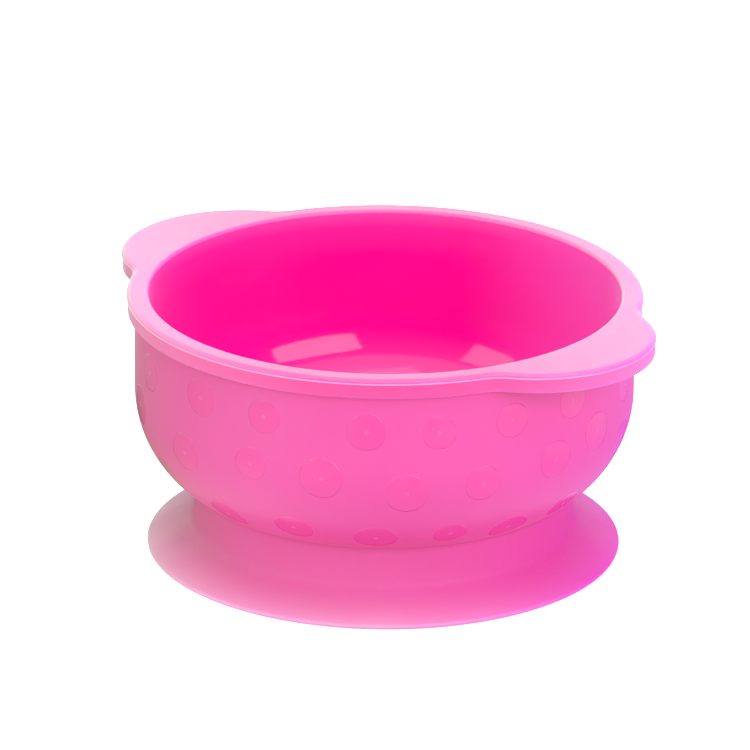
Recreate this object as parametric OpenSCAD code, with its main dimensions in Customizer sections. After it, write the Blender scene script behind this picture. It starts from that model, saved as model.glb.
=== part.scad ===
// Suction bowl for a baby: a round feeding bowl with two finger ears on its rim, standing on a
// soft suction foot that is stretched over a ring under the bowl.
// Millimetres, +Z up. Origin: on the bowl's axis, in the plane of the table. Ears along +X and -X.

/* [Bowl] */
// Radius of the straight upper part of the wall, outside
wall_r = 60; // [50:0.5:75]
// Wall thickness
wall_t = 3.4; // [2:0.1:4]
// Height of the rim above the table
height = 64.5; // [50:0.1:85]
// Height where the wall starts to curve in
shoulder_z = 40.3; // [30:0.1:48]
// Underside of the bowl above the table
floor_z = 12.8; // [11:0.1:20]

/* [Rim and ears] */
// Outer radius of the rim band
rim_r = 61.7; // [55:0.1:75]
// Height of the rim band
band_h = 4.6; // [3:0.1:9]
// Radius of each ear's outline
ear_r = 29; // [20:0.1:40]
// Distance of each ear's centre from the bowl's axis
ear_x = 44.9; // [30:0.1:55]
// Radius of the hollow curve that joins an ear to the rim
ear_fillet_r = 10.7; // [4:0.1:16]
// Rounding of the band's top outer edge
rim_round = 1.2; // [0.4:0.1:2]
// Rounding of the inner lip
lip_round = 0.8; // [0.4:0.1:2]

/* [Gloss dots] */
// Size of the dots, as a share of the sizes listed in the rows below
dot_scale = 1; // [0.6:0.05:1.2]
// Diameter of the small hole in the middle of a dot
dot_hole_d = 1.5; // [0.8:0.1:3]
// How far the dots stand out of the wall
dot_h = 0.1; // [0.05:0.05:0.6]

/* [Suction foot] */
// Outer radius of the sealing lip on the table
foot_r = 57.1; // [45:0.1:70]
// Outer radius of the collar just under the bowl
collar_top_r = 45.4; // [43.5:0.1:50]
// Outer radius of the collar at its lower end
collar_low_r = 46.4; // [44:0.1:52]
// Height of the crease between collar and skirt
crease_z = 6.8; // [5:0.1:9]
// Height of the sealing lip
lip_t = 1.3; // [0.8:0.1:2]
// Thickness of the web that closes the suction cup
web_t = 1.8; // [1.2:0.1:3]
// Outer radius of the ring under the bowl that carries the foot
ring_r = 42; // [36:0.1:43]

/* [Hidden] */
$fn = 128;

inner_r = wall_r - wall_t;
band_z = height - band_h;
lip_steps = 4;
// How far the joining curve cuts into the rim and the ears, so that the outlines cross
joint_cut = 0.01;
// The wall's lower curve is a quarter circle from the shoulder to the flat underside
curve_r = shoulder_z - floor_z;
curve_x = wall_r - curve_r;
// Ring under the bowl: wall, lower end and snap bead
ring_t = 2.4;
ring_z = 9.4;
bead_r = 0.6;
bead_z = 11.4;
// Skirt of the suction foot: thickness and the concave curve that joins it to the collar
skirt_t = 1.8;
skirt_in_r = 43.6;
lip_in_r = 52.3;
lip_low_r = 54.1;
bell_steps = 8;
bell_x = 3;
bell_z = 1.9;
// Dots of one half of the bowl as [turn, height, diameter]; the other half repeats them
row_high = [[-158, 51.2, 9], [-136, 52.4, 9.4], [-118, 52, 8.4], [-94, 51, 9.4], [-77.6, 50.4, 8.2],
            [-60, 51.2, 8.6], [-42.3, 52, 9.2], [-18, 48, 9], [2, 51, 9]];
row_mid = [[-165.8, 40.2, 9.8], [-142, 36.6, 9.6], [-121.5, 39.6, 8.4], [-104.3, 38.6, 10.4],
           [-84.8, 35.3, 10.2], [-67, 36.4, 9], [-47.5, 38.4, 9.6], [-33, 41.2, 9.8], [-18, 34, 9.4],
           [-2, 38, 9.6]];
row_low = [[-156, 25.4, 9.6], [-134.3, 21.6, 10], [-113.2, 22.9, 9.6], [-92, 21.4, 10.2],
           [-72.8, 22.1, 8], [-55.2, 20.7, 9.8], [-37.4, 22.6, 9.2], [-17, 22.4, 9.4], [6, 22, 9.6]];
// Turn from the ears to the side the dots are counted from
dot_turn = 39;

// ---- profiles ----

// Half section of the solid bowl, moved in by d, open upwards to the height top
module bowl_section(d, top) {
    translate([0, shoulder_z])
        square([wall_r - d, top - shoulder_z]);
    intersection() {
        translate([curve_x, shoulder_z])
            circle(r = curve_r - d);
        translate([curve_x, floor_z - 1])
            square([curve_r + 1, curve_r + 1]);
    }
    translate([0, floor_z + d])
        square([curve_x, curve_r - d]);
}

// Outline of the rim and both ears, moved in by d
module rim_outline(d) {
    reach = rim_r + ear_fillet_r;
    joint_x = (pow(ear_x, 2) + pow(reach, 2) - pow(ear_r + ear_fillet_r, 2)) / (2 * ear_x);
    joint_y = sqrt(pow(reach, 2) - pow(joint_x, 2));
    difference() {
        union() {
            circle(r = rim_r - d);
            for (side = [-1, 1])
                translate([side * ear_x, 0])
                    circle(r = ear_r - d);
            for (sx = [-1, 1])
                for (sy = [-1, 1])
                    polygon([[0, 0], [sx * joint_x, sy * joint_y], [sx * ear_x, 0]]);
        }
        for (sx = [-1, 1])
            for (sy = [-1, 1])
                translate([sx * joint_x, sy * joint_y])
                    circle(r = ear_fillet_r + d + joint_cut);
    }
}

// Outer end of the skirt's outline: the bell curve from the crease down to the sealing lip
function bell_pt(t) =
    let (x = collar_low_r + t * (foot_r - lip_t / 2 - collar_low_r),
         straight = crease_z - bell_z - t * (crease_z - bell_z - lip_t))
    [x, straight + bell_z * exp(-t * (foot_r - collar_low_r) / bell_x) * (1 - t)];

function bell_pts() = [for (i = [0 : bell_steps]) bell_pt(pow(i / bell_steps, 1.6))];

// ---- pieces ----

// Rim band with its ears, its top edge rounded in steps
module rim_band() {
    steps = 4;
    translate([0, 0, band_z])
        linear_extrude(band_h - rim_round)
            rim_outline(0);
    for (i = [0 : steps - 1])
        translate([0, 0, height - rim_round])
            linear_extrude(rim_round * sin(90 * (i + 1) / steps))
                rim_outline(rim_round * (1 - cos(90 * (i + 0.5) / steps)));
}

// Hollow of the bowl, widening round the inner lip at the top
module bowl_hollow() {
    lip_z = height - lip_round;
    rotate_extrude()
        union() {
            bowl_section(wall_t, height + 1);
            polygon(concat(
                [[inner_r - 1, lip_z - 1]],
                [for (i = [0 : lip_steps])
                    [inner_r + lip_round * (1 - cos(90 * i / lip_steps)),
                     lip_z + lip_round * sin(90 * i / lip_steps)]],
                [[inner_r + lip_round, height + 1], [inner_r - 1, height + 1]]
            ));
        }
}

// Ring under the bowl with a rounded snap bead
module foot_ring() {
    rotate_extrude()
        union() {
            translate([ring_r - ring_t, ring_z])
                square([ring_t, floor_z + wall_t + 0.4 - ring_z]);
            translate([ring_r, bead_z])
                circle(r = bead_r);
        }
}

// Ring-shaped posts that reach through the wall, each square to its curve, one per dot
module dot_posts(row) {
    for (dot = row) {
        tilt = dot[1] < shoulder_z ? asin((shoulder_z - dot[1]) / curve_r) : 0;
        foot_x = wall_r - curve_r * (1 - cos(tilt));
        for (half = [0, 180])
            rotate([0, 0, dot[0] + half + dot_turn])
                translate([foot_x, 0, dot[1]])
                    rotate([0, 90 + tilt, 0])
                        translate([0, 0, -1.5])
                            difference() {
                                cylinder(d = dot[2] * dot_scale, h = 3);
                                translate([0, 0, -1])
                                    cylinder(d = dot_hole_d, h = 5);
                            }
    }
}

// ---- nodes ----

module bowl_shell() {
    color([0.96, 0.30, 0.62])
        union() {
            difference() {
                union() {
                    rotate_extrude()
                        bowl_section(0, band_z + 1);
                    rim_band();
                }
                bowl_hollow();
            }
            foot_ring();
        }
}

module gloss_dots() {
    color([0.90, 0.18, 0.52])
        intersection() {
            rotate_extrude()
                difference() {
                    bowl_section(-dot_h, band_z - 1);
                    bowl_section(0, band_z);
                }
            union() {
                dot_posts(row_high);
                dot_posts(row_mid);
                dot_posts(row_low);
            }
        }
}

module foot_collar() {
    color([0.92, 0.34, 0.64])
        rotate_extrude()
            difference() {
                polygon([
                    [ring_r, crease_z],
                    [collar_low_r, crease_z],
                    [collar_top_r, floor_z + 4],
                    [ring_r, floor_z + 4]
                ]);
                translate([curve_x, shoulder_z])
                    circle(r = curve_r);
                translate([ring_r, bead_z])
                    circle(r = bead_r);
            }
}

module foot_web() {
    color([0.90, 0.32, 0.62])
        translate([0, 0, ring_z - web_t])
            cylinder(r = ring_r, h = web_t);
}

module suction_skirt() {
    color([0.94, 0.38, 0.68])
        rotate_extrude()
            polygon(concat(
                [[skirt_in_r, crease_z]],
                bell_pts(),
                [[lip_in_r, lip_t], [skirt_in_r + skirt_t, crease_z - skirt_t]]
            ));
}

module sealing_lip() {
    color([0.96, 0.50, 0.76])
        rotate_extrude()
            union() {
                polygon([
                    [lip_in_r, lip_t],
                    [lip_low_r, 0],
                    [foot_r - lip_t / 2, 0],
                    [foot_r - lip_t / 2, lip_t]
                ]);
                translate([foot_r - lip_t / 2, lip_t / 2])
                    circle(d = lip_t);
            }
}

bowl_shell();
gloss_dots();
foot_collar();
foot_web();
suction_skirt();
sealing_lip();
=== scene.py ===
import math
import random

import bmesh
import bpy
import numpy as np
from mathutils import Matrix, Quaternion, Vector


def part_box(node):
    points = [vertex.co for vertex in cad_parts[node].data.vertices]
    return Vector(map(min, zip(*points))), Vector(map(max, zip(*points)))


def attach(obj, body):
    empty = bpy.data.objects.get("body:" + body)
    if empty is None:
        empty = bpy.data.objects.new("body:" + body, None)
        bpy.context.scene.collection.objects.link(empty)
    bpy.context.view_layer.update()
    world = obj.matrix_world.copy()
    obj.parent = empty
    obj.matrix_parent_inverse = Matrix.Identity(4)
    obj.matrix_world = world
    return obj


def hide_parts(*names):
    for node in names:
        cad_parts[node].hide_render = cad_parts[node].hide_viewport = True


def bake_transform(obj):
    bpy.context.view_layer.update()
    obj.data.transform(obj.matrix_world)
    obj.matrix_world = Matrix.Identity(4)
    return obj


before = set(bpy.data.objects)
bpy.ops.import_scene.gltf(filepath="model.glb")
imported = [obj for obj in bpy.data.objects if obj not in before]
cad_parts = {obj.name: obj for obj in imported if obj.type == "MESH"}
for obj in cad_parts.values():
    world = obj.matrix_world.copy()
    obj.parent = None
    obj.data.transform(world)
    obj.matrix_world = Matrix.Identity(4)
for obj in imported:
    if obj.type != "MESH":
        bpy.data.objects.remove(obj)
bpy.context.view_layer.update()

MM = 0.001

# ---------------------------------------------------------------- sizes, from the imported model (mm)
shell_lo, shell_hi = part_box("bowl_shell")
web_lo, web_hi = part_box("foot_web")
collar_lo, collar_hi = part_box("foot_collar")
lip_lo, lip_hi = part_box("sealing_lip")
HEIGHT = shell_hi.z / MM
RIM_R = shell_hi.y / MM
EAR_TIP = shell_hi.x / MM
FOOT_R = lip_hi.x / MM
LIP_T = lip_hi.z / MM
WEB_LOW, WEB_TOP = web_lo.z / MM, web_hi.z / MM
RING_R = web_hi.x / MM
COLLAR_LOW_R = collar_hi.x / MM
CREASE_Z = collar_lo.z / MM
RING_Z = shell_lo.z / MM

WALL_R = RIM_R - 1.7
WALL_T = 3.4
INNER_R = WALL_R - WALL_T
BAND_H = 4.6
SHOULDER_Z = 40.3
FLOOR_Z = 12.8
CURVE_R = SHOULDER_Z - FLOOR_Z
CURVE_X = WALL_R - CURVE_R
EAR_R = 29.0
EAR_X = EAR_TIP - EAR_R
EAR_FILLET = 10.7
COLLAR_TOP_R = 45.4
LIP_ROUND = 0.8
RIM_ROUND = 1.25
RIM_DROP = 0.85
BAND_ROUND = 0.4
BAND_FILLET = 0.8
SKIRT_LOW_R = 52.3
LIP_LOW_R = 54.1
BELL_DEPTH = 1.9
BELL_REACH = 3
NECK_FILLET = 1.2


def arc(cx, cz, r, a0, a1, n):
    """n + 1 points of a circle in the half plane (radius, height), angles in degrees."""
    return [
        (cx + r * math.cos(math.radians(a0 + (a1 - a0) * i / n)),
         cz + r * math.sin(math.radians(a0 + (a1 - a0) * i / n)))
        for i in range(n + 1)
    ]


def line(p, q, n):
    """n points from p towards q, without q."""
    return [(p[0] + (q[0] - p[0]) * i / n, p[1] + (q[1] - p[1]) * i / n) for i in range(n)]


# ---------------------------------------------------------------- rim outline with both ears
REACH = RIM_R + EAR_FILLET
JOINT_X = (EAR_X ** 2 + REACH ** 2 - (EAR_R + EAR_FILLET) ** 2) / (2 * EAR_X)
JOINT_Y = math.sqrt(REACH ** 2 - JOINT_X ** 2)
RIM_TURN = math.atan2(JOINT_Y, JOINT_X)
_tx = EAR_X + (JOINT_X - EAR_X) * EAR_R / (EAR_R + EAR_FILLET)
_ty = JOINT_Y * EAR_R / (EAR_R + EAR_FILLET)
EAR_TURN = math.atan2(_ty, _tx)


def outline(turn, inset):
    """Distance from the axis to the rim's outline, moved in by inset, at a turn in radians."""
    c, s = abs(math.cos(turn)), abs(math.sin(turn))
    a = math.atan2(s, c)
    if a >= RIM_TURN:
        return RIM_R - inset
    if a <= EAR_TURN:
        r = EAR_R - inset
        return EAR_X * c + math.sqrt(r * r - (EAR_X * s) ** 2)
    r = EAR_FILLET + inset
    along = JOINT_X * c + JOINT_Y * s
    across = JOINT_X * s - JOINT_Y * c
    return min(along - math.sqrt(max(r * r - across * across, 0.0)), max(RIM_R - inset, along))


# ---------------------------------------------------------------- mesh helpers
def revolve(name, rings, turns, zones=None):
    """A closed mesh from rings: each ring is a list of (x, y, z) in mm, one per turn, or one point."""
    verts, starts = [], []
    for ring in rings:
        starts.append(len(verts))
        verts.extend(ring)
    faces, tags = [], []
    for k in range(len(rings) - 1):
        a, b = rings[k], rings[k + 1]
        ia, ib = starts[k], starts[k + 1]
        for i in range(turns):
            j = (i + 1) % turns
            if len(a) == 1:
                faces.append((ia, ib + j, ib + i))
            elif len(b) == 1:
                faces.append((ia + i, ia + j, ib))
            else:
                faces.append((ia + i, ia + j, ib + j, ib + i))
            tags.append(zones[k] if zones else 0)
    mesh = bpy.data.meshes.new(name)
    mesh.from_pydata([tuple(c * MM for c in v) for v in verts], [], faces)
    mesh.polygons.foreach_set("material_index", tags)
    mesh.polygons.foreach_set("use_smooth", [True] * len(faces))
    mesh.update()
    obj = bpy.data.objects.new(name, mesh)
    bpy.context.scene.collection.objects.link(obj)
    return obj


# ---------------------------------------------------------------- the bowl: one moulding
TURNS = 480
RIDGE_Z = HEIGHT - 1.02
RIDGE = 0.2

INSIDE, RIM, OUTSIDE, UNDER, PARTING = 0, 1, 2, 3, 4


def hollow_profile():
    """Radius, height and zone of the hollow's rings, from the middle of the floor to the inner lip."""
    floor_in = FLOOR_Z + WALL_T
    wall = [(0, floor_in)]
    wall += line((3, floor_in), (CURVE_X - 1, floor_in), 10)
    wall += arc(CURVE_X, SHOULDER_Z, CURVE_R - WALL_T, -90, 0, 36)
    wall += line((INNER_R, SHOULDER_Z + 2), (INNER_R, HEIGHT - LIP_ROUND), 8)
    lip = arc(INNER_R + LIP_ROUND, HEIGHT - LIP_ROUND, LIP_ROUND, 180, 90, 12)
    return [(r, z, INSIDE) for r, z in wall] + [(r, z, RIM) for r, z in lip]


def lerp(a, b, t):
    return a + (b - a) * t


def bowl_rings():
    rings, zones = [], []
    angles = [2 * math.pi * i / TURNS for i in range(TURNS)]
    cs = [(math.cos(a), math.sin(a)) for a in angles]

    def ring(r, z, zone):
        rings.append([(r * c, r * s, z) for c, s in cs] if r > 0 else [(0, 0, z)])
        zones.append(zone)

    def ring_inset(inset, z, zone):
        rings.append([(outline(a, inset) * c, outline(a, inset) * s, z) for a, (c, s) in zip(angles, cs)])
        zones.append(zone)

    def ring_between(r0, inset, t, z, zone):
        """Between a plain circle and the outline."""
        row = []
        for a, (c, s) in zip(angles, cs):
            r = lerp(r0, outline(a, inset), t)
            row.append((r * c, r * s, z))
        rings.append(row)
        zones.append(zone)

    for r, z, zone in hollow_profile():
        ring(r, z, zone)
    top_r = INNER_R + LIP_ROUND
    for t in (0.06, 0.3, 0.6, 0.85, 0.96):
        ring_between(top_r, RIM_ROUND, t, HEIGHT, RIM)
    n = 8
    for i in range(n + 1):
        a = math.pi / 2 * i / n
        ring_inset(RIM_ROUND * (1 - math.sin(a)), HEIGHT - RIM_DROP * (1 - math.cos(a)), RIM)
    # raised parting line of the mould
    for dz, out in ((0.16, 0), (0.10, 0.5), (0.05, 1), (-0.05, 1), (-0.10, 0.5), (-0.16, 0)):
        ring_inset(-RIDGE * out, RIDGE_Z + dz, PARTING if dz > -0.1 else RIM)
    band_low = HEIGHT - BAND_H
    for z in (RIDGE_Z - 0.5, band_low + 2.2, band_low + 1.0, band_low + 0.45):
        ring_inset(0, z, RIM)
    for i in range(1, 6):
        a = math.pi / 2 * i / 5
        ring_inset(BAND_ROUND * (1 - math.cos(a)), band_low + BAND_ROUND * (1 - math.sin(a)), RIM)
    for t in (0.95, 0.7, 0.4, 0.15):
        ring_between(WALL_R + BAND_FILLET, BAND_ROUND, t, band_low, OUTSIDE)
    for r, z in arc(WALL_R + BAND_FILLET, band_low - BAND_FILLET, BAND_FILLET, 90, 180, 6):
        ring(r, z, OUTSIDE)
    for r, z in line((WALL_R, band_low - 1.4), (WALL_R, SHOULDER_Z + 1.5), 10):
        ring(r, z, OUTSIDE)
    low = math.degrees(math.acos((RING_R - CURVE_X) / CURVE_R))
    for r, z in arc(CURVE_X, SHOULDER_Z, CURVE_R, 0, -low, 40):
        ring(r, z, OUTSIDE)
    for r, z in (
        (RING_R, 14.3), (RING_R, 12.1), (RING_R + 0.35, 11.9), (RING_R + 0.6, 11.4), (RING_R + 0.35, 10.9),
        (RING_R, 10.7), (RING_R, RING_Z + 0.2), (RING_R - 0.2, RING_Z), (RING_R - 2.2, RING_Z),
        (RING_R - 2.4, RING_Z + 0.2), (RING_R - 2.4, FLOOR_Z + 0.8), (36, FLOOR_Z + 0.25), (CURVE_X, FLOOR_Z),
        (20, FLOOR_Z), (0, FLOOR_Z),
    ):
        ring(r, z, UNDER)
    return rings, zones


rings, zones = bowl_rings()
bowl = revolve("bowl_body", rings, TURNS, zones)
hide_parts("bowl_shell")
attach(bowl, "bowl")


# ---------------------------------------------------------------- gloss dots, placed on the CAD dots
def islands(obj):
    """Centre and radius of each separate solid of a CAD node, in mm."""
    mesh = obj.data
    co = np.array([v.co for v in mesh.vertices], float).reshape(-1, 3)
    keys = {}
    weld = np.array([keys.setdefault(tuple(k), len(keys)) for k in np.round(co / 2e-6).astype(int)])
    parent = list(range(len(keys)))

    def find(i):
        while parent[i] != i:
            parent[i] = parent[parent[i]]
            i = parent[i]
        return i

    for e in mesh.edges:
        a, b = find(weld[e.vertices[0]]), find(weld[e.vertices[1]])
        if a != b:
            parent[a] = b
    groups = {}
    for i, w in enumerate(weld):
        groups.setdefault(find(w), []).append(i)
    found = []
    for g in groups.values():
        pts = co[g]
        centre = (pts.min(0) + pts.max(0)) / 2
        reach = np.linalg.norm(pts - centre, axis=1).max()
        found.append((*(centre / MM), reach / MM))
    return sorted(found, key=lambda c: (round(c[2]), math.atan2(c[1], c[0])))


def wall_at(s):
    """Point and outward normal of the outer wall in the half plane, s mm down its curve from the shoulder."""
    if s <= 0:
        return (WALL_R, SHOULDER_Z - s), (1, 0)
    a = s / CURVE_R
    n = (math.cos(a), -math.sin(a))
    return (CURVE_X + CURVE_R * n[0], SHOULDER_Z + CURVE_R * n[1]), n


HOLE_R = 0.6
# Heights above the wall: the polished ring and the rough middle
DOT_H = 0.009
HUB_H = 0.0075
# from the hole outwards: share of the way from the hole's edge to the dot's edge, height
DOT_RINGS = ((0.0, HUB_H), (0.05, 0.008), (0.12, DOT_H), (0.3, DOT_H), (0.5, DOT_H), (0.7, DOT_H),
             (0.84, DOT_H), (0.92, DOT_H), (1.0, DOT_H), (1.0, -0.03))


def dot_mesh():
    rng = random.Random(11)
    verts, faces, hub, edge = [], [], [], []
    steps = 48
    for c in islands(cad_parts["gloss_dots"]):
        turn = math.atan2(c[1], c[0])
        r, z = math.hypot(c[0], c[1]), c[2]
        s0 = SHOULDER_Z - z if z >= SHOULDER_Z else math.atan2(SHOULDER_Z - z, r - CURVE_X) * CURVE_R
        lobes = [(k, rng.uniform(-0.012, 0.012), rng.uniform(0, 6.28)) for k in (2, 3, 5)]
        base = len(verts)

        def put(rho, phi, h):
            s = s0 - rho * math.sin(phi)
            (pr, pz), n = wall_at(s)
            t = turn + rho * math.cos(phi) / (WALL_R if s <= 0 else pr)
            pr, pz = pr + n[0] * h, pz + n[1] * h
            verts.append((pr * math.cos(t) * MM, pr * math.sin(t) * MM, pz * MM))

        put(0, 0, HUB_H)
        for share, h in DOT_RINGS:
            rho = HOLE_R + share * (c[3] - HOLE_R)
            for i in range(steps):
                phi = 2 * math.pi * i / steps
                wob = 1 + sum(w * math.sin(k * phi + o) for k, w, o in lobes)
                put(rho * (wob if rho > 1.5 else 1), phi, h)
        for i in range(steps):
            j = (i + 1) % steps
            faces.append((base, base + 1 + i, base + 1 + j))
            hub.append(len(faces) - 1)
            for k in range(len(DOT_RINGS) - 1):
                a = base + 1 + k * steps
                faces.append((a + i, a + steps + i, a + steps + j, a + j))
            edge.append(len(faces) - 1)
    mesh = bpy.data.meshes.new("dot_pattern")
    mesh.from_pydata(verts, [], faces)
    mesh.polygons.foreach_set("use_smooth", [True] * len(faces))
    for i in hub:
        mesh.polygons[i].material_index = 1
    for i in edge:
        mesh.polygons[i].use_smooth = False
    mesh.update()
    obj = bpy.data.objects.new("dot_pattern", mesh)
    bpy.context.scene.collection.objects.link(obj)
    return obj


dots = dot_mesh()
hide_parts("gloss_dots")
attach(dots, "bowl")


# ---------------------------------------------------------------- the suction foot: one soft moulding
def bell(t):
    x = COLLAR_LOW_R + t * (FOOT_R - LIP_T / 2 - COLLAR_LOW_R)
    low = CREASE_Z - BELL_DEPTH
    swell = BELL_DEPTH * math.exp(-t * (FOOT_R - COLLAR_LOW_R) / BELL_REACH) * (1 - t)
    return x, low - t * (low - LIP_T) + swell


def under_wall(r):
    return SHOULDER_Z - math.sqrt(CURVE_R ** 2 - (r - CURVE_X) ** 2)


def foot_rings():
    angles = [2 * math.pi * i / TURNS for i in range(TURNS)]
    cs = [(math.cos(a), math.sin(a)) for a in angles]
    p = [(0, WEB_LOW)] + line((2, WEB_LOW), (RING_R - 1.5, WEB_LOW), 6)
    p += [(RING_R - 1.0, WEB_LOW), (RING_R - 0.4, WEB_LOW - 0.2), (RING_R, WEB_LOW - 0.55),
          (RING_R + 0.6, CREASE_Z - 0.3), (RING_R + 1.6, CREASE_Z - 0.6)]
    p += line((RING_R + 2.4, CREASE_Z - 1.0), (SKIRT_LOW_R, LIP_T), 8)
    p += line((SKIRT_LOW_R, LIP_T), (LIP_LOW_R, 0.08), 3) + [(54.2, 0.02), (54.5, 0.0), (55.4, 0.0)]
    p += arc(FOOT_R - LIP_T / 2, LIP_T / 2, LIP_T / 2, -90, 62, 12)
    p += [bell(t) for t in (0.985, 0.95, 0.9, 0.8, 0.7, 0.6, 0.5, 0.4, 0.32, 0.25, 0.19, 0.14, 0.1,
                            0.065, 0.035)]
    top_z = under_wall(COLLAR_TOP_R)
    n = 14
    for i in range(n - 1):
        t = i / n
        hollow = 0.22 * math.sin(math.pi * t)
        p.append((lerp(COLLAR_LOW_R, COLLAR_TOP_R, t ** 0.75) - hollow, lerp(CREASE_Z + 0.1, top_z, t)))
    # a soft corner where the collar meets the bowl
    fillet_r = COLLAR_TOP_R + NECK_FILLET
    a, b, c = p[-1], (COLLAR_TOP_R, top_z), (fillet_r, under_wall(fillet_r) + 0.03)
    for t in (0.15, 0.3, 0.45, 0.6, 0.75, 0.9, 1.0):
        p.append(tuple(lerp(lerp(u, v, t), lerp(v, w, t), t) for u, v, w in zip(a, b, c)))
    for r in (44.6, 43.6, 42.6, RING_R):
        p.append((r, under_wall(r)))
    p += [(RING_R, 12.1), (RING_R, 10.7), (RING_R, WEB_TOP), (RING_R - 4, WEB_TOP), (0, WEB_TOP)]
    return [[(r * c, r * s, z) for c, s in cs] if r > 0 else [(0, 0, z)] for r, z in p]


foot = revolve("suction_foot", foot_rings(), TURNS)
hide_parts("foot_collar", "foot_web", "suction_skirt", "sealing_lip")
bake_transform(foot)

# outward faces
for piece in (bowl, foot):
    mesh = piece.data
    bm = bmesh.new()
    bm.from_mesh(mesh)
    bmesh.ops.recalc_face_normals(bm, faces=bm.faces)
    bm.to_mesh(mesh)
    bm.free()


# ---------------------------------------------------------------- the side the bowl is seen from
VIEW_AZ, VIEW_EL = math.radians(39.0), math.radians(20.76)
RIGHTWARD = Vector((math.cos(VIEW_AZ), math.sin(VIEW_AZ), 0))
FORWARD = Vector((-math.sin(VIEW_AZ), math.cos(VIEW_AZ), 0))


# ---------------------------------------------------------------- materials
def dot_with(nt, vec, axis):
    n = nt.nodes.new("ShaderNodeVectorMath")
    n.operation = "DOT_PRODUCT"
    nt.links.new(vec, n.inputs[0])
    n.inputs[1].default_value = axis
    return n.outputs["Value"]


def material(name):
    m = bpy.data.materials.new(name)
    m.use_nodes = True
    nt = m.node_tree
    b = nt.nodes["Principled BSDF"]
    return m, nt, b


def noise(nt, coord, scale, detail=4.0, rough=0.55):
    n = nt.nodes.new("ShaderNodeTexNoise")
    n.inputs["Scale"].default_value = scale
    n.inputs["Detail"].default_value = detail
    n.inputs["Roughness"].default_value = rough
    nt.links.new(coord, n.inputs["Vector"])
    return n.outputs["Fac"]


def ramp(nt, fac, stops):
    r = nt.nodes.new("ShaderNodeValToRGB")
    el = r.color_ramp.elements
    while len(el) < len(stops):
        el.new(0.5)
    for e, (pos, col) in zip(el, stops):
        e.position = pos
        e.color = (*col, 1) if len(col) == 3 else col
    nt.links.new(fac, r.inputs["Fac"])
    return r.outputs["Color"]


def mapped(nt, value, lo, hi, to_lo, to_hi, smooth=False):
    m = nt.nodes.new("ShaderNodeMapRange")
    if smooth:
        m.interpolation_type = "SMOOTHSTEP"
    m.inputs["From Min"].default_value = lo
    m.inputs["From Max"].default_value = hi
    m.inputs["To Min"].default_value = to_lo
    m.inputs["To Max"].default_value = to_hi
    nt.links.new(value, m.inputs["Value"])
    return m.outputs["Result"]


def math_node(nt, op, a, b=None):
    m = nt.nodes.new("ShaderNodeMath")
    m.operation = op
    for i, v in enumerate((a, b)):
        if v is None:
            continue
        if isinstance(v, (int, float)):
            m.inputs[i].default_value = v
        else:
            nt.links.new(v, m.inputs[i])
    return m.outputs[0]


def mix_colour(nt, fac, a, b):
    m = nt.nodes.new("ShaderNodeMix")
    m.data_type = "RGBA"
    for name, v in (("Factor", fac), ("A", a), ("B", b)):
        kind = "VALUE" if name == "Factor" else "RGBA"
        sock = [s for s in m.inputs if s.name == name and s.enabled and s.type == kind][0]
        if isinstance(v, (int, float)):
            sock.default_value = v
        elif isinstance(v, tuple):
            sock.default_value = (*v, 1)
        else:
            nt.links.new(v, sock)
    return [s for s in m.outputs if s.enabled][0]


def coords(nt):
    c = nt.nodes.new("ShaderNodeTexCoord")
    return c.outputs["Object"]


def split(nt, vec):
    s = nt.nodes.new("ShaderNodeSeparateXYZ")
    nt.links.new(vec, s.inputs[0])
    return s.outputs


def radius_of(nt, xyz):
    return math_node(nt, "SQRT", math_node(nt, "ADD", math_node(nt, "MULTIPLY", xyz[0], xyz[0]),
                                           math_node(nt, "MULTIPLY", xyz[1], xyz[1])))


def bump(nt, b, parts):
    """Chain of bumps: (height socket, distance in metres, strength)."""
    last = None
    for h, dist, strength in parts:
        n = nt.nodes.new("ShaderNodeBump")
        n.inputs["Distance"].default_value = dist
        n.inputs["Strength"].default_value = strength
        nt.links.new(h, n.inputs["Height"])
        if last is not None:
            nt.links.new(last, n.inputs["Normal"])
        last = n.outputs["Normal"]
    nt.links.new(last, b.inputs["Normal"])


def srgb(r, g, b):
    def f(c):
        c /= 255
        return c / 12.92 if c <= 0.04045 else ((c + 0.055) / 1.055) ** 2.4
    return (f(r), f(g), f(b))


def inside_material():
    m, nt, b = material("bowl_inside_gloss")
    co = coords(nt)
    xyz = split(nt, co)
    # Painted light by height: the lighter pink at the floor's cove stands in for reflections, and the paler
    # pink towards the lip stands in for light through the thin rim.
    painted_light_by_height = mapped(nt, xyz[2], 0.016, 0.064, 0, 1)
    col = ramp(nt, painted_light_by_height, [(0.0, srgb(244, 22, 160)), (0.25, srgb(240, 0, 148)), (0.78, srgb(238, 0, 141)),
                          (0.92, srgb(244, 24, 148)), (0.99, srgb(248, 66, 164))])
    cloud = noise(nt, co, 40, 3)
    col = mix_colour(nt, mapped(nt, cloud, 0.35, 0.65, 0.0, 0.06), col, srgb(246, 30, 150))
    # Painted haze: the inner wall is paler on its right side, standing in for light from the upper left and
    # light through the wall.
    painted_haze_right = mapped(nt, dot_with(nt, co, RIGHTWARD), 0.018, 0.058, 0, 1, True)
    col = mix_colour(nt, painted_haze_right, col, srgb(248, 70, 188))
    nt.links.new(col, b.inputs["Base Color"])
    scuff = noise(nt, co, 900, 4, 0.6)
    nt.links.new(mapped(nt, scuff, 0.3, 0.75, 0.065, 0.12), b.inputs["Roughness"])
    wave = noise(nt, co, 70, 2)
    bump(nt, b, [(wave, 0.00004, 0.6), (scuff, 0.000004, 0.5)])
    b.inputs["IOR"].default_value = 1.42
    b.inputs["Sheen Weight"].default_value = 0.32
    b.inputs["Sheen Roughness"].default_value = 0.42
    b.inputs["Sheen Tint"].default_value = (1.0, 0.42, 0.9, 1)
    return m


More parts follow.
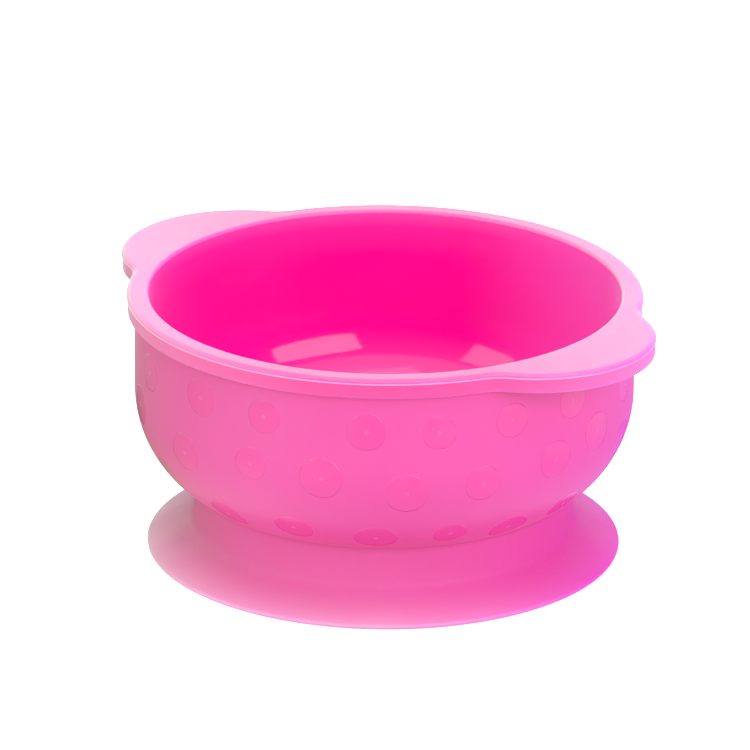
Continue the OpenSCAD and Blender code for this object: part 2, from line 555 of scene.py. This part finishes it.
def outside_material(name, base, pale, rough_lo, rough_hi, grain, painted_pale_ends=None):
    m, nt, b = material(name)
    co = coords(nt)
    cloud = noise(nt, co, 55, 3)
    col = mix_colour(nt, mapped(nt, cloud, 0.3, 0.7, 0.0, 0.16), base, pale)
    # Painted highlight: the colour turns paler towards both ends, at the ears, where light from above hazes
    # the flat rim tops.
    if painted_pale_ends:
        reach = math_node(nt, "ABSOLUTE", dot_with(nt, co, RIGHTWARD))
        col = mix_colour(nt, mapped(nt, reach, 0.020, 0.074, 0, 1), col, painted_pale_ends)
    speck = noise(nt, co, 2600, 2, 0.7)
    col = mix_colour(nt, mapped(nt, speck, 0.60, 0.80, 0.0, 0.25), col, pale)
    nt.links.new(col, b.inputs["Base Color"])
    fine = noise(nt, co, 3400, 3, 0.6)
    nt.links.new(mapped(nt, cloud, 0.3, 0.7, rough_lo, rough_hi), b.inputs["Roughness"])
    bump(nt, b, [(fine, grain, 0.7)])
    b.inputs["IOR"].default_value = 1.5
    b.inputs["Sheen Weight"].default_value = 0.10
    b.inputs["Sheen Roughness"].default_value = 0.45
    b.inputs["Sheen Tint"].default_value = (1.0, 0.72, 0.86, 1)
    return m


def translucent(b, weight, reach, spread):
    b.inputs["Subsurface Weight"].default_value = weight
    b.inputs["Subsurface Radius"].default_value = spread
    b.inputs["Subsurface Scale"].default_value = reach


def dot_material():
    m, nt, b = material("dot_gloss")
    co = coords(nt)
    cloud = noise(nt, co, 160, 3)
    col = mix_colour(nt, mapped(nt, cloud, 0.3, 0.7, 0.0, 0.3), srgb(234, 60, 144), srgb(238, 73, 152))
    nt.links.new(col, b.inputs["Base Color"])
    fine = noise(nt, co, 1500, 3, 0.6)
    nt.links.new(mapped(nt, fine, 0.3, 0.7, 0.14, 0.24), b.inputs["Roughness"])
    bump(nt, b, [(fine, 0.000006, 0.5)])
    b.inputs["IOR"].default_value = 1.5
    return m


def foot_material():
    m, nt, b = material("foot_frosted_soft")
    co = coords(nt)
    xyz = split(nt, co)
    r = radius_of(nt, xyz)
    out = mapped(nt, r, 0.044, 0.0575, 0, 1)
    # Painted light and shade: both ramps darken towards the neck, where the bowl shades the foot, and turn
    # paler and bluer towards the thin lip.
    deep_with_painted_light = ramp(nt, out, [(0.0, srgb(220, 40, 134)), (0.3, srgb(222, 40, 138)), (0.72, srgb(228, 48, 158)),
                          (0.93, srgb(227, 48, 170)), (1.0, srgb(230, 58, 180))])
    pale_with_painted_light = ramp(nt, out, [(0.0, srgb(222, 74, 142)), (0.3, srgb(224, 88, 150)), (0.72, srgb(230, 122, 168)),
                           (0.93, srgb(234, 142, 182)), (1.0, srgb(240, 160, 198))])
    # Painted haze: the foot is paler on the left and front and deeper on the right, standing in for light
    # from the left.
    side = mapped(nt, dot_with(nt, co, RIGHTWARD), -0.055, 0.055, 0, 1)
    painted_haze_share = ramp(nt, side, [(k, (v, v, v)) for k, v in ((0.0, 0.72), (0.23, 0.62), (0.5, 0.74), (0.75, 0.47),
                                                       (0.96, 0.03))])
    col = mix_colour(nt, painted_haze_share, deep_with_painted_light, pale_with_painted_light)
    cloud = noise(nt, co, 90, 4, 0.6)
    col = mix_colour(nt, mapped(nt, cloud, 0.3, 0.7, 0.0, 0.12), col, srgb(227, 80, 162))
    grain = noise(nt, co, 2300, 3, 0.7)
    col = mix_colour(nt, mapped(nt, grain, 0.55, 0.8, 0.0, 0.25), col, srgb(233, 98, 174))
    nt.links.new(col, b.inputs["Base Color"])
    nt.links.new(mapped(nt, cloud, 0.3, 0.7, 0.52, 0.66), b.inputs["Roughness"])
    bump(nt, b, [(grain, 0.00005, 0.8), (cloud, 0.00006, 0.4)])
    b.inputs["IOR"].default_value = 1.46
    b.inputs["Specular IOR Level"].default_value = 0.35
    b.inputs["Sheen Weight"].default_value = 0.08
    b.inputs["Sheen Roughness"].default_value = 0.5
    b.inputs["Sheen Tint"].default_value = (1.0, 0.74, 0.88, 1)
    return m


inside = inside_material()
# The rim's paler ends are a painted highlight from the light above.
rim = outside_material("rim_satin", srgb(230, 66, 147), srgb(234, 84, 160), 0.28, 0.36, 0.000008,
                       painted_pale_ends=srgb(240, 106, 178))
outside = outside_material("wall_frosted", srgb(231, 61, 146), srgb(235, 82, 159), 0.38, 0.46, 0.00003)
# The parting line's paler pink is a painted highlight along the ridge.
parting = outside_material("parting_line_painted_highlight", srgb(246, 128, 186), srgb(250, 150, 200), 0.25, 0.32, 0.000006)
under = outside_material("hidden_underside", srgb(240, 60, 150), srgb(248, 90, 170), 0.45, 0.55, 0.00002)
DEEP, PALE = (1.0, 0.12, 0.4), (1.0, 0.45, 0.7)
for m, weight, reach, spread in (
    (inside, 0.3, 0.004, DEEP), (rim, 0.9, 0.008, PALE),
    (under, 0.3, 0.004, DEEP), (parting, 0.9, 0.008, PALE),
):
    translucent(m.node_tree.nodes["Principled BSDF"], weight, reach, spread)
# in the order of the zones' numbers
for m in (inside, rim, outside, under, parting):
    bowl.data.materials.append(m)
hub_finish = (srgb(235, 70, 150), srgb(239, 86, 159), 0.3, 0.4, 0.00001)
dots.data.materials.append(dot_material())
dots.data.materials.append(outside_material("dot_hub", *hub_finish))
foot.data.materials.append(foot_material())

# ---------------------------------------------------------------- camera
CAMERA_DISTANCE = 1.8
CAMERA_LENS = 359.49
CAMERA_ROLL = 0.0075
AIM_LEFT, AIM_UP = 2.262, 42.575
TARGET = Vector((-AIM_LEFT * math.cos(VIEW_AZ), -AIM_LEFT * math.sin(VIEW_AZ), AIM_UP)) * MM
BACK = Vector((math.sin(VIEW_AZ) * math.cos(VIEW_EL), -math.cos(VIEW_AZ) * math.cos(VIEW_EL),
               math.sin(VIEW_EL)))
cam_data = bpy.data.cameras.new("camera")
cam = bpy.data.objects.new("camera", cam_data)
bpy.context.scene.collection.objects.link(cam)
cam_data.sensor_width = 36
cam_data.lens = CAMERA_LENS
cam.location = TARGET + BACK * CAMERA_DISTANCE
cam.rotation_mode = "QUATERNION"
cam.rotation_quaternion = (-BACK).to_track_quat("-Z", "Y") @ Quaternion((0, 0, 1), CAMERA_ROLL)
bpy.context.scene.camera = cam


# ---------------------------------------------------------------- studio
def seen(az, el):
    """Direction from the bowl, az to the right of the camera's side and el up, in degrees."""
    a, e = VIEW_AZ + math.radians(az), math.radians(el)
    return Vector((math.sin(a) * math.cos(e), -math.cos(a) * math.cos(e), math.sin(e)))


def softbox(name, az, el, dist, w, h, power):
    data = bpy.data.lights.new(name, "AREA")
    data.shape = "RECTANGLE"
    data.size, data.size_y = w, h
    data.energy = power
    obj = bpy.data.objects.new(name, data)
    bpy.context.scene.collection.objects.link(obj)
    d = seen(az, el)
    obj.location = Vector((0, 0, 0.04)) + d * dist
    obj.rotation_mode = "QUATERNION"
    obj.rotation_quaternion = d.to_track_quat("Z", "Y")
    return obj


softbox("softbox_right", 38, 26, 1.6, 1.25, 0.62, 11.3)
softbox("softbox_left", -60, 28, 1.6, 0.66, 0.66, 4.5)
softbox("softbox_top", 20, 84, 1.5, 1.2, 1.2, 9.5)

# What the object sees of the room, by direction: back, back left, left, front left, front, front right,
# right, back right. The camera sees plain white instead. FLOOR_MIRRORED is seen in reflections only.
FLOOR_NEAR = ((1.00, 0.85, 1.00), (0.00, 0.10, 0.00), (0.45, 0.72, 0.32), (1.38, 1.48, 1.46),
              (0.83, 0.94, 0.90), (1.02, 1.18, 1.26), (0.88, 0.70, 1.34), (0.60, 0.08, 0.88))
FLOOR_FAR = ((1.00, 0.95, 1.00), (0.85, 1.00, 0.80), (0.55, 0.90, 0.50), (1.12, 1.25, 1.20),
             (0.90, 0.80, 0.90), (0.95, 1.60, 1.25), (0.95, 1.60, 1.40), (1.00, 0.50, 1.20))
FLOOR_MIRRORED = ((2.60, 2.60, 2.60), (0.50, 0.60, 0.45)) + FLOOR_FAR[2:]
ROOM_LOW = ((1.00, 3.10, 2.40), (0.40, 2.20, 0.60), (0.22, 2.20, 0.36), (0.86, 2.65, 1.55),
            (0.72, 1.85, 1.22), (0.72, 1.20, 1.20), (0.76, 0.15, 1.25), (0.80, 0.10, 1.30))
ROOM_HIGH = ((0.90, 1.10, 1.20), (0.75, 2.00, 1.00), (0.60, 2.10, 0.90), (0.80, 1.80, 1.20),
             (0.74, 1.00, 1.10), (0.66, 0.75, 1.10), (0.80, 0.80, 1.40), (0.90, 0.90, 1.50))
OVERHEAD = (0.50, 1.50, 0.65)
# What the glossy inside of the bowl mirrors of the camera's side, by the sine of the height
MIRRORED = ((0.30, (0.25, 0.05, 0.25)), (0.45, (0.45, 0.25, 0.55)), (0.58, (0.60, 0.60, 0.90)),
            (0.655, (0.75, 0.90, 1.20)), (0.675, (1.05, 2.10, 2.30)), (0.80, (1.20, 2.70, 2.80)),
            (0.90, (1.20, 3.00, 2.90)))
BRIGHTEST = 3.5


def by_direction(nt, vec, colours):
    """Colour blended round the object by the direction of vec, as a share of BRIGHTEST."""
    angle = math_node(nt, "ARCTAN2", dot_with(nt, vec, RIGHTWARD), dot_with(nt, vec, -FORWARD))
    turn = mapped(nt, angle, -math.pi, math.pi, 0, 1)
    stops = [(k / 8, tuple(c / BRIGHTEST for c in colours[k % 8])) for k in range(9)]
    return ramp(nt, turn, stops)


# ---- floor: plain and pale
floor_mesh = bpy.data.meshes.new("floor")
S = 6.0
floor_mesh.from_pydata([(-S, -S, 0), (S, -S, 0), (S, S, 0), (-S, S, 0)], [], [(0, 1, 2, 3)])
floor = bpy.data.objects.new("floor", floor_mesh)
bpy.context.scene.collection.objects.link(floor)
floor.location.z = -0.00005
fm, fnt, fb = material("floor_pale")
fb.inputs["Base Color"].default_value = (0.9, 0.9, 0.9, 1)
fb.inputs["Roughness"].default_value = 0.9
fb.inputs["Specular IOR Level"].default_value = 0.1
fb.inputs["Emission Color"].default_value = (1, 1, 1, 1)
fb.inputs["Emission Strength"].default_value = 0.55
spot = coords(fnt)
away = radius_of(fnt, split(fnt, spot))
sheet = mix_colour(fnt, mapped(fnt, away, 0.12, 0.28, 0, 1, True), by_direction(fnt, spot, FLOOR_NEAR),
                   by_direction(fnt, spot, FLOOR_FAR))
path = fnt.nodes.new("ShaderNodeLightPath")
far_mirror = math_node(fnt, "MULTIPLY", path.outputs["Is Glossy Ray"],
                       mapped(fnt, away, 0.10, 0.20, 0, 1, True))
sheet = mix_colour(fnt, far_mirror, sheet, by_direction(fnt, spot, FLOOR_MIRRORED))
glow = fnt.nodes.new("ShaderNodeEmission")
fnt.links.new(sheet, glow.inputs["Color"])
glow.inputs["Strength"].default_value = BRIGHTEST
pick = fnt.nodes.new("ShaderNodeMixShader")
fnt.links.new(path.outputs["Is Camera Ray"], pick.inputs[0])
fnt.links.new(glow.outputs[0], pick.inputs[1])
fnt.links.new(fb.outputs[0], pick.inputs[2])
fnt.links.new(pick.outputs[0], fnt.nodes["Material Output"].inputs["Surface"])
floor_mesh.materials.append(fm)

# ---- room
world = bpy.data.worlds.new("studio")
bpy.context.scene.world = world
world.use_nodes = True
wnt = world.node_tree
wbg = wnt.nodes["Background"]
direction = wnt.nodes.new("ShaderNodeTexCoord").outputs["Generated"]
height = split(wnt, direction)[2]
sky = mix_colour(wnt, mapped(wnt, height, 0.22, 0.50, 0, 1, True), by_direction(wnt, direction, ROOM_LOW),
                 by_direction(wnt, direction, ROOM_HIGH))
sky = mix_colour(wnt, mapped(wnt, height, 0.72, 0.96, 0, 1, True), sky,
                 tuple(c / BRIGHTEST for c in OVERHEAD))
path = wnt.nodes.new("ShaderNodeLightPath")
front = mapped(wnt, dot_with(wnt, direction, -FORWARD), 0.0, 0.35, 0, 1, True)
front = math_node(wnt, "MULTIPLY", front, mapped(wnt, height, 0.18, 0.26, 0, 1, True))
front = math_node(wnt, "MULTIPLY", front, path.outputs["Is Glossy Ray"])
mirrored = ramp(wnt, height, [(h, tuple(c / BRIGHTEST for c in colour)) for h, colour in MIRRORED])
sky = mix_colour(wnt, front, sky, mirrored)
white = mix_colour(wnt, path.outputs["Is Camera Ray"], sky,
                   (1 / BRIGHTEST, 1 / BRIGHTEST, 1 / BRIGHTEST))
wnt.links.new(white, wbg.inputs["Color"])
wbg.inputs["Strength"].default_value = BRIGHTEST

view = bpy.context.scene.view_settings
view.view_transform = "Standard"
view.look = "None"
view.exposure = 0
view.gamma = 1
